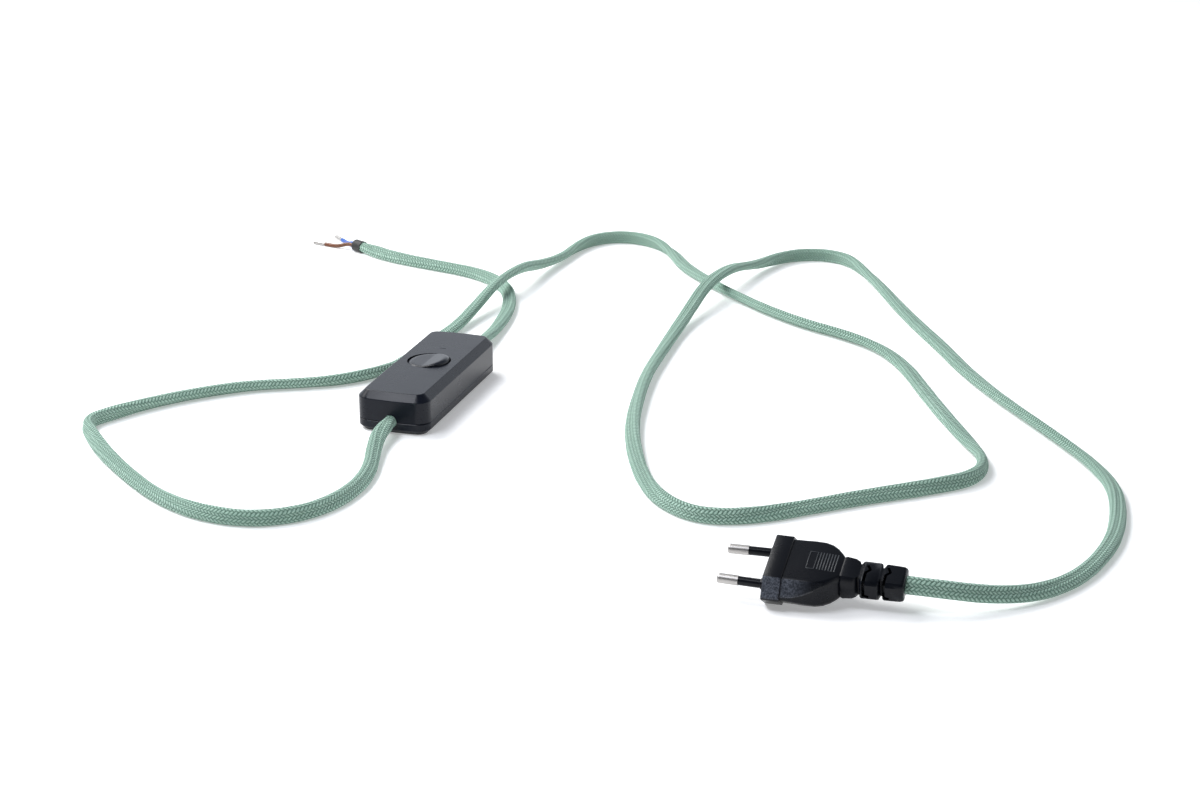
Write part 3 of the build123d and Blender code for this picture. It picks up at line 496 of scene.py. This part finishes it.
def braid(name, axis_height=None):
    """Braided textile: two sets of yarns, each over two and under two, as chevrons along the cord, with
    painted shade in the gaps between the yarns.

    The pattern follows the piece's UV map, or wraps round a line along X at axis_height.
    """
    paint = Paint(name, Roughness=0.78, Sheen_Weight=0.35, Sheen_Roughness=0.45, Specular_IOR_Level=0.3)
    paint.shader.inputs["Sheen Tint"].default_value = (0.75, 0.92, 0.84, 1)
    if axis_height is None:
        place = paint.node("SeparateXYZ", Vector=paint.node("UVMap").outputs[0])
        around, along = place.outputs["X"], place.outputs["Y"]
    else:
        place = paint.node("SeparateXYZ", Vector=paint.node("TexCoord").outputs["Object"])
        rise = paint.math("SUBTRACT", place.outputs["Z"], axis_height)
        around = paint.math("DIVIDE", paint.math("ARCTAN2", rise, place.outputs["Y"]), 2 * pi)
        along = paint.math("DIVIDE", place.outputs["X"], BRAID_LAY)
    first = paint.math("MULTIPLY", paint.math("ADD", along, around), BRAID_YARNS)
    second = paint.math("MULTIPLY", paint.math("SUBTRACT", along, around), BRAID_YARNS)
    first_yarn, second_yarn = paint.math("FLOOR", first), paint.math("FLOOR", second)
    step = paint.math("FLOORED_MODULO", paint.math("SUBTRACT", first_yarn, second_yarn), BRAID_REPEAT)
    second_on_top = paint.math("GREATER_THAN", step, 1.5)
    first_run = paint.math("ADD", paint.math("SUBTRACT", first_yarn, second), 1.0)
    second_run = paint.math("SUBTRACT", paint.math("SUBTRACT", first, second_yarn), 2.0)
    height = paint.choice(second_on_top, yarn_height(paint, first, first_run),
                          yarn_height(paint, second, second_run))
    paint.bump(height, strength=1.0, distance=BRAID_RELIEF)
    second_number = paint.math("ADD", second_yarn, SECOND_SET_NUMBERS)
    shade = paint.node("TexWhiteNoise")
    shade.noise_dimensions = "1D"
    paint.feed(shade, "W", paint.choice(second_on_top, first_yarn, second_number))
    yarns = paint.mix(shade.outputs["Value"], YARN_DARKER, YARN_LIGHTER)
    worn = paint.ramp(paint.noise(scale=14.0, detail=2.0), low=0.3, high=0.7)
    yarns = paint.mix(worn, yarns, YARN_PATCHES)
    # Painted shade: lower in the weave the colour goes towards a darker green, so the gaps between the yarns
    # look shaded
    paint.colour(paint.mix(paint.ramp(height, low=0.1, high=0.9), YARN_GAP_SHADE, yarns))
    return paint.material


# Cords
def route_line(name, route):
    """The points of the smooth line through a route: a NURBS spline with the route as its control points."""
    curve = bpy.data.curves.new(name + "_route", "CURVE")
    curve.dimensions = "3D"
    curve.resolution_u = ROUTE_RESOLUTION
    spline = curve.splines.new("NURBS")
    spline.points.add(len(route) - 1)
    for point, place in zip(spline.points, route):
        point.co = (*place, 1)
    spline.order_u = 3
    spline.use_endpoint_u = True
    holder = bpy.data.objects.new(name + "_route", curve)
    mesh = bpy.data.meshes.new_from_object(holder)
    line = np.array([v.co for v in mesh.vertices])
    bpy.data.objects.remove(holder)
    bpy.data.meshes.remove(mesh)
    keep = np.append(True, np.linalg.norm(np.diff(line, axis=0), axis=1) > ROUTE_LEAST_STEP)
    return line[keep]


def smoothed(values, along, width):
    """Values along the line, averaged over a soft window."""
    weights = np.exp(-0.5 * ((along[:, None] - along[None, :]) / width) ** 2)
    return (weights @ values) / weights.sum(1)


def soft_step(values, low, high):
    """A smooth step from 0 at low to 1 at high."""
    t = np.clip((values - low) / (high - low), 0, 1)
    return t * t * (3 - 2 * t)


def flat_section(roundness):
    """The outline of the flat twin cord, counter-clockwise. Roundness 1 makes it nearly a circle."""
    half_width = CORD_WIDTH / 2 + (EXIT_RADIUS - CORD_WIDTH / 2) * roundness
    half_height = CORD_THICKNESS / 2 + (EXIT_RADIUS - CORD_THICKNESS / 2) * EXIT_HEIGHT_SHARE * roundness
    centre = half_width - half_height
    groove = CORD_GROOVE * (1 - roundness)
    outline = []
    for side in (1, -1):
        for k in range(SECTION_STEPS + 1):
            angle = pi * (k / SECTION_STEPS - 0.5)
            outline.append((side * (centre + half_height * cos(angle)), side * half_height * sin(angle)))
        for k in range(1, FLAT_STEPS):
            x = 1 - 2 * k / FLAT_STEPS
            outline.append((side * centre * x, side * (half_height - groove * (1 - x * x))))
    return outline


def cord_twist(tangent, along, end_twist, seed):
    """The cord's turn about its own line: on edge where it bends, and near flat where it runs straight."""
    heading = np.unwrap(np.arctan2(tangent[:, 1], tangent[:, 0]))
    bend = smoothed(np.abs(np.gradient(heading, along)), along, BEND_WINDOW)
    on_edge = soft_step(bend, FLAT_BEND, EDGE_BEND)
    twist = -EDGE_TWIST * on_edge
    twist -= WANDER_TWIST * (1 + np.sin(along * WANDER_RATE + seed)) * (1 - on_edge)
    twist = smoothed(twist, along, TWIST_WINDOW)
    twist *= soft_step(along, 0.0, EXIT_RUN)
    if end_twist is not None:
        begin, complete = PLUG_END_RUN
        arrive = soft_step(along, along[-1] - begin, along[-1] - complete)
        twist = twist * (1 - arrive) + end_twist * arrive
    return twist


def braided_cord(name, route, material, seed, end_twist=None):
    """A flat braided cord along a route, rounder at its exit and at an end without a plug's twist."""
    line = route_line(name, route)
    runs = np.linalg.norm(np.diff(line, axis=0), axis=1)
    along = np.append(0, np.cumsum(runs))
    tangent = np.gradient(line, along, axis=0)
    tangent /= np.linalg.norm(tangent, axis=1)[:, None]
    twist = cord_twist(tangent, along, end_twist, seed)
    roundness = 1 - soft_step(along, *ROUND_EXIT)
    if end_twist is None:
        begin, complete = ROUND_BARE_END
        roundness = np.maximum(roundness, soft_step(along, along[-1] - begin, along[-1] - complete))
    lift = (CORD_WIDTH - CORD_THICKNESS) / 2 * np.abs(np.sin(twist)) + CORD_THICKNESS / 2 - TUBE_RADIUS
    on_floor = np.clip((CLEAR_OF_FLOOR - line[:, 2]) / (CLEAR_OF_FLOOR - TUBE_RADIUS), 0, 1)
    centres = line.copy()
    centres[:, 2] += lift * on_floor
    count = len(flat_section(0))
    mesh = bmesh.new()
    uv = mesh.loops.layers.uv.new("UVMap")
    rings = []
    for i, centre in enumerate(centres):
        forward = Vector(tangent[i])
        side = Vector((0, 0, 1)).cross(forward).normalized()
        up = forward.cross(side)
        turn_side = side * cos(twist[i]) + up * sin(twist[i])
        turn_up = up * cos(twist[i]) - side * sin(twist[i])
        swell = 1 + SWELL * sin(along[i] * SWELL_RATES[0] + seed) * sin(along[i] * SWELL_RATES[1] + 2 * seed)
        rings.append([mesh.verts.new(Vector(centre) + (turn_side * x + turn_up * y) * swell)
                      for x, y in flat_section(float(roundness[i]))])
    for i in range(len(rings) - 1):
        for k in range(count):
            n = (k + 1) % count
            face = mesh.faces.new((rings[i][k], rings[i][n], rings[i + 1][n], rings[i + 1][k]))
            places = ((k, i), (k + 1, i), (k + 1, i + 1), (k, i + 1))
            for loop, (u, v) in zip(face.loops, places):
                loop[uv].uv = (u / count, along[v] / BRAID_LAY)
    mesh.faces.new(list(reversed(rings[0])))
    mesh.faces.new(rings[-1])
    bmesh.ops.recalc_face_normals(mesh, faces=mesh.faces)
    cord = finished(name, mesh, material, smooth=40)
    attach(cord, "case")
    return cord, centres, float(along[-1])


# Rocker
def crowned(x, y):
    """Height of the rocker's face: a shallow V across the axle, softened into a crown."""
    valley = ROCKER_TOP_Z + tan(ROCKER_TILT) * sqrt(y * y + CREASE_SOFTNESS)
    crown = ROCKER_CROWN_TOP - ROCKER_CROWN + sqrt(ROCKER_CROWN ** 2 - x * x - y * y)
    low = min(valley, crown)
    blended = exp((low - valley) / CROWN_SOFTNESS) + exp((low - crown) / CROWN_SOFTNESS)
    return low - CROWN_SOFTNESS * (np.log(blended)) + CAP_RISE


def rocker_cap(material):
    """The rocker's moulded face with its rounded rim and skirt.

    Points of the face are kept CAP_MARK lower than the skirt until they are crowned.
    """
    mesh = bmesh.new()
    verts = [mesh.verts.new((r, 0, z - CAP_MARK)) for r, z in CAP_TOP + CAP_RIM]
    verts += [mesh.verts.new((r, 0, z)) for r, z in CAP_SKIRT]
    edges = [mesh.edges.new(pair) for pair in zip(verts, verts[1:])]
    bmesh.ops.spin(mesh, geom=verts + edges, cent=(0, 0, 0), axis=(0, 0, 1), angle=2 * pi, steps=CAP_STEPS,
                   use_merge=True, use_duplicate=False)
    bmesh.ops.remove_doubles(mesh, verts=mesh.verts, dist=0.001)
    for vert in mesh.verts:
        if vert.co.z < -CAP_MARK / 2:
            vert.co.z += CAP_MARK + crowned(vert.co.x, vert.co.y)
    bmesh.ops.recalc_face_normals(mesh, faces=mesh.faces)
    seat = Matrix.Translation((0, 0, ROCKER_AXIS_Z)) @ Matrix.Rotation(-ROCKER_TILT, 4, "X")
    place = Matrix.Translation((ROCKER_X, 0, 0)) @ seat @ Matrix.Translation((0, 0, -ROCKER_AXIS_Z))
    bmesh.ops.transform(mesh, matrix=Matrix.Scale(MILLIMETRE, 4) @ place, verts=mesh.verts)
    cap = finished("rocker_cap", mesh, material, smooth=50)
    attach(cap, "rocker")


# Plug
def octagon_ring(mesh, x, width, height, top, side):
    """A ring of eight corners across the plug at x."""
    w, h, t, s = width / 2, height / 2, top / 2, side / 2
    corners = [(w, s), (t, h), (-t, h), (-w, s), (-w, -s), (-t, -h), (t, -h), (w, -s)]
    ring = bmesh.ops.create_circle(mesh, cap_ends=False, segments=8, radius=1)["verts"]
    for vert, (y, z) in zip(ring, corners):
        vert.co = (x, y, z)
    return ring


def ring_edges(ring):
    """The edges between the corners of one ring."""
    members = set(ring)
    return each_once(edge for vert in ring for edge in vert.link_edges if set(edge.verts) <= members)


def lofted(mesh, sections):
    """Makes a closed body through octagon sections."""
    rings = [octagon_ring(mesh, *section) for section in sections]
    ends = [ring_edges(rings[0]), ring_edges(rings[-1])]
    for a, b in zip(rings, rings[1:]):
        bmesh.ops.bridge_loops(mesh, edges=ring_edges(a) + ring_edges(b))
    for edges in ends:
        bmesh.ops.holes_fill(mesh, edges=edges, sides=8)


def rounded_block(mesh, low, high, offset):
    """A box between two corners with rounded edges."""
    size = [b - a for a, b in zip(low, high)]
    middle = [(a + b) / 2 for a, b in zip(low, high)]
    place = Matrix.Translation(middle) @ Matrix.Diagonal((*size, 1))
    verts = bmesh.ops.create_cube(mesh, size=1.0, matrix=place)["verts"]
    edges = each_once(edge for vert in verts for edge in vert.link_edges)
    rounded(mesh, edges, offset, segments=2, clamp=True)


def on_plug(name, mesh, material, smooth, grained_sheen=None):
    """Finishes a piece made in the plug's own frame and puts it in place."""
    bmesh.ops.recalc_face_normals(mesh, faces=mesh.faces)
    bmesh.ops.transform(mesh, matrix=PLUG_PLACE @ Matrix.Scale(MILLIMETRE, 4), verts=mesh.verts)
    piece = finished(name, mesh, material, smooth)
    if grained_sheen is not None:
        piece.data.materials.append(grained_sheen)
    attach(piece, "case")
    return piece


def grain_and_sheen_slants(mesh, back):
    """Gives the upper slanting faces in front of back the second, grained finish with its painted sheen; the
    lower slants keep the plain black.
    """
    mesh.normal_update()
    for face in mesh.faces:
        slant = abs(face.normal.y) > SLANT_ACROSS and face.normal.z > SLANT_UP
        if slant and face.calc_center_median().x > back:
            face.material_index = 1


def plug_flange(material, grained_sheen):
    """The flange that meets the socket: a flattened octagon in section."""
    mesh = bmesh.new()
    lofted(mesh, [(0.0, *FLANGE_SECTION), (-FLANGE_DEPTH, *FLANGE_SECTION)])
    rounded(mesh, mesh.edges[:], offset=0.45, clamp=True)
    grain_and_sheen_slants(mesh, -FLANGE_DEPTH)
    return on_plug("plug_flange", mesh, material, smooth=32, grained_sheen=grained_sheen)


def plug_grip(material, grained_sheen):
    """The grip: a smooth top whose rough slanting sides run out before the neck."""
    mesh = bmesh.new()
    lofted(mesh, GRIP_SECTIONS)
    lengthwise = [edge for edge in mesh.edges if abs(edge.verts[0].co.x - edge.verts[1].co.x) > 1]
    rounded(mesh, lengthwise, offset=0.7)
    grain_and_sheen_slants(mesh, GRIP_GRAIN_AND_SHEEN_END)
    return on_plug("plug_grip", mesh, material, smooth=40, grained_sheen=grained_sheen)


def crooked_slit(cutter, path, depth, width):
    """A wall along a crooked path, which cuts one slit."""
    verts = [cutter.verts.new(place) for place in path]
    edges = [cutter.edges.new(pair) for pair in zip(verts, verts[1:])]
    wall = bmesh.ops.extrude_edge_only(cutter, edges=edges)["geom"]
    moved = [part for part in wall if isinstance(part, bmesh.types.BMVert)]
    bmesh.ops.translate(cutter, vec=depth, verts=moved)
    faces = [part for part in wall if isinstance(part, bmesh.types.BMFace)]
    bmesh.ops.solidify(cutter, geom=faces, thickness=width)


def cut_away(mesh, cutter):
    """Cuts the cutter's closed walls out of a closed mesh."""
    holders = []
    for source in (mesh, cutter):
        bmesh.ops.recalc_face_normals(source, faces=source.faces)
        data = bpy.data.meshes.new("cutting")
        source.to_mesh(data)
        holders.append(bpy.data.objects.new("cutting", data))
        bpy.context.scene.collection.objects.link(holders[-1])
    cut = holders[0].modifiers.new("cut", "BOOLEAN")
    cut.operation = "DIFFERENCE"
    cut.solver = "EXACT"
    cut.use_self = True
    cut.object = holders[1]
    result = bpy.data.meshes.new_from_object(holders[0].evaluated_get(bpy.context.evaluated_depsgraph_get()))
    mesh.clear()
    mesh.from_mesh(result)
    bmesh.ops.remove_doubles(mesh, verts=mesh.verts, dist=CUT_TOLERANCE)
    bmesh.ops.dissolve_degenerate(mesh, dist=CUT_TOLERANCE, edges=mesh.edges)
    cutter.free()
    bpy.data.meshes.remove(result)
    for holder in holders:
        data = holder.data
        bpy.data.objects.remove(holder)
        bpy.data.meshes.remove(data)


def plug_relief(material):
    """The strain relief: a collar and two blocks, notched at both edges and cut by crooked slits."""
    mesh = bmesh.new()
    lofted(mesh, COLLAR_SECTIONS + BLOCK_SECTIONS)
    cutter = bmesh.new()
    for shift in SLIT_SHIFTS:
        for side in (1, -1):
            across = [(x + shift, y * side, FACE_SLIT_Z * side) for x, y in FACE_SLIT]
            crooked_slit(cutter, across, (0, 0, SLIT_REACH * side), FACE_SLIT_WIDTH)
            down = [(x + shift, SIDE_SLIT_Y * side, z * side) for x, z in SIDE_SLIT]
            crooked_slit(cutter, down, (0, SLIT_REACH * side, 0), SIDE_SLIT_WIDTH)
    cut_away(mesh, cutter)
    return on_plug("plug_relief", mesh, material, smooth=44)


def grip_top(x):
    """Half the height of the grip at x, where its ribs stand."""
    return 6.5 - 0.0125 * max(0.0, -x - 16.0) - 0.06 * max(0.0, -x - 21.0)


def rib_half_length(x):
    """Half the length of a rib at x: shorter where the grip narrows."""
    return min(5.0, 8.6 - 0.9 * max(0.0, -x - 23.0))


def plug_ribs(material):
    """The thin raised lines on the two broad faces: an empty frame and seven ribs."""
    mesh = bmesh.new()
    lines = list(FRAME_BARS)
    for k in range(RIB_COUNT):
        x = RIB_FIRST_X - RIB_PITCH * k
        half = rib_half_length(x)
        lines.append(((x - RIB_HALF_WIDTH, x + RIB_HALF_WIDTH), (RIB_CENTRE_Y - half, RIB_CENTRE_Y + half)))
    for face in (1, -1):
        for (low_x, high_x), (low_y, high_y) in lines:
            top = grip_top(low_x)
            z = sorted(((top - RIB_SINK) * face, (top + RIB_RISE) * face))
            rounded_block(mesh, (low_x, low_y, z[0]), (high_x, high_y, z[1]), offset=0.06)
    return on_plug("plug_ribs", mesh, material, smooth=40)


def sleeve_steps(material):
    """The small thicker step of each pin's sleeve where it enters the flange."""
    mesh = bmesh.new()
    for side in (1, -1):
        place = Matrix.Translation((STEP_X, side * PIN_OFFSET, 0)) @ Matrix.Rotation(radians(90), 4, "Y")
        ring = bmesh.ops.create_cone(mesh, cap_ends=True, segments=40, radius1=2.3, radius2=2.15,
                                     depth=STEP_DEPTH, matrix=place)["verts"]
        rim = [edge for vert in ring for edge in vert.link_edges
               if edge.verts[0].co.x > STEP_X and edge.verts[1].co.x > STEP_X]
        rounded(mesh, each_once(rim), offset=0.25)
    return on_plug("sleeve_steps", mesh, material, smooth=40)


# Build: camera and cords first, then the rest
place_camera()
studio()
braid_paint = braid("sage_braid")
inner_braid = braid("sage_braid_end", axis_height=EXIT_HEIGHT)
supply, supply_line, supply_length = braided_cord(
    "supply_braid", SUPPLY_ROUTE, braid_paint, seed=0.4, end_twist=PLUG_END_TWIST)
load, load_line, load_length = braided_cord("load_braid", LOAD_ROUTE, braid_paint, seed=1.9)
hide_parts("supply_cord")
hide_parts("load_cord")

case_paint = moulded_plastic("charcoal_case", dark=(0.005, 0.007, 0.013), light=(0.008, 0.01, 0.017),
                             rough=0.24, grain=2600, depth=0.00003, shine=0.2)
rocker_paint = moulded_plastic("charcoal_rocker", dark=(0.008, 0.01, 0.016), light=(0.012, 0.014, 0.021),
                               rough=0.26, grain=2600, depth=0.00004, shine=0.32)
plug_paint = moulded_plastic("black_plug", dark=(0.003, 0.004, 0.007), light=(0.006, 0.007, 0.01),
                             rough=0.24, grain=2200, depth=0.00004, shine=0.2)
# Painted highlight: the raised ribs get a lighter colour than the black plug they stand on, so they read as
# lit lines
rib_highlight_paint = moulded_plastic("raised_black_ribs_painted_highlight", dark=(0.035, 0.04, 0.047), light=(0.05, 0.056, 0.065),
                            rough=0.3, grain=2200, depth=0.00004)
# Painted sheen: the plug's upper slants get light specks in their colour, as if lit, fading out towards the
# neck
grain_and_sheen_paint = grained_plastic_with_painted_sheen("grained_black_plug_painted_sheen", dark=(0.02, 0.024, 0.034), light=(0.1, 0.112, 0.14),
                                smooth_colour=(0.005, 0.006, 0.009), back=-0.2275, front=-0.214)
white_paint = moulded_plastic("white_plastic", dark=(0.74, 0.73, 0.69), light=(0.8, 0.79, 0.75),
                              rough=0.35, grain=2400, depth=0.00004)
rubber_paint = moulded_plastic("black_sleeve", dark=(0.016, 0.016, 0.017), light=(0.024, 0.024, 0.025),
                               rough=0.55, grain=1600, depth=0.0001)
brass_paint = bare_metal("stamped_brass", (0.78, 0.57, 0.25), worn=(0.66, 0.45, 0.18), rough=0.22,
                         stretch=(1, 0.1, 1))
steel_paint = bare_metal("zinc_steel", (0.64, 0.65, 0.66), worn=(0.5, 0.52, 0.55), rough=0.3,
                         stretch=(1, 1, 0.1))
nickel_paint = bare_metal("nickel_pin", (0.5, 0.485, 0.47), worn=(0.42, 0.405, 0.39), rough=0.34,
                          stretch=(1, 0.3, 1))
silver_paint = bare_metal("silver_contact", (0.86, 0.85, 0.82), worn=(0.72, 0.7, 0.66), rough=0.18,
                          stretch=(1, 1, 1))
copper_paint = bare_metal("bright_copper", (0.8, 0.36, 0.2), worn=(0.62, 0.26, 0.14), rough=0.24,
                          stretch=(0.08, 1, 1))
brown_paint = insulation("brown_core", (0.16, 0.06, 0.025), dark=(0.12, 0.045, 0.02))
blue_paint = insulation("blue_core", (0.02, 0.12, 0.5), dark=(0.015, 0.09, 0.4))

NODE_PAINTS = {
    case_paint: ["upper_housing", "lower_housing"],
    rocker_paint: ["rocker"],
    white_paint: ["plunger", "supply_clamp_bar", "load_clamp_bar"],
    steel_paint: ["plunger_spring", "terminal_screws", "clamp_screws", "housing_screws"],
    brass_paint: ["contact_blade", "live_in_terminal", "live_out_terminal", "neutral_terminal"],
    silver_paint: ["moving_contact", "fixed_contact"],
    inner_braid: ["supply_sheath_end", "load_sheath_end"],
    brown_paint: ["supply_brown_core", "load_brown_core", "tail_brown_core"],
    blue_paint: ["supply_blue_core", "load_blue_core", "tail_blue_core"],
    copper_paint: ["supply_copper_ends", "load_copper_ends"],
    nickel_paint: ["plug_pin_1", "plug_pin_2", "tail_ferrules"],
    plug_paint: ["pin_sleeve_1", "pin_sleeve_2"],
    rubber_paint: ["tail_sleeve"],
}
smoothing = soft_edges()
for material, names in NODE_PAINTS.items():
    for node in names:
        NODES[node].data.materials.clear()
        NODES[node].data.materials.append(material)
        NODES[node].modifiers.new("soft_edges", "NODES").node_group = smoothing
        weighted = NODES[node].modifiers.new("even_shading", "WEIGHTED_NORMAL")
        weighted.keep_sharp = True
        weighted.weight = EVEN_SHADING_WEIGHT

rocker_cap(rocker_paint)
plug_pieces = [
    plug_flange(plug_paint, grain_and_sheen_paint),
    plug_grip(plug_paint, grain_and_sheen_paint),
    plug_relief(plug_paint),
    plug_ribs(rib_highlight_paint),
    sleeve_steps(plug_paint),
]
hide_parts("plug_body")
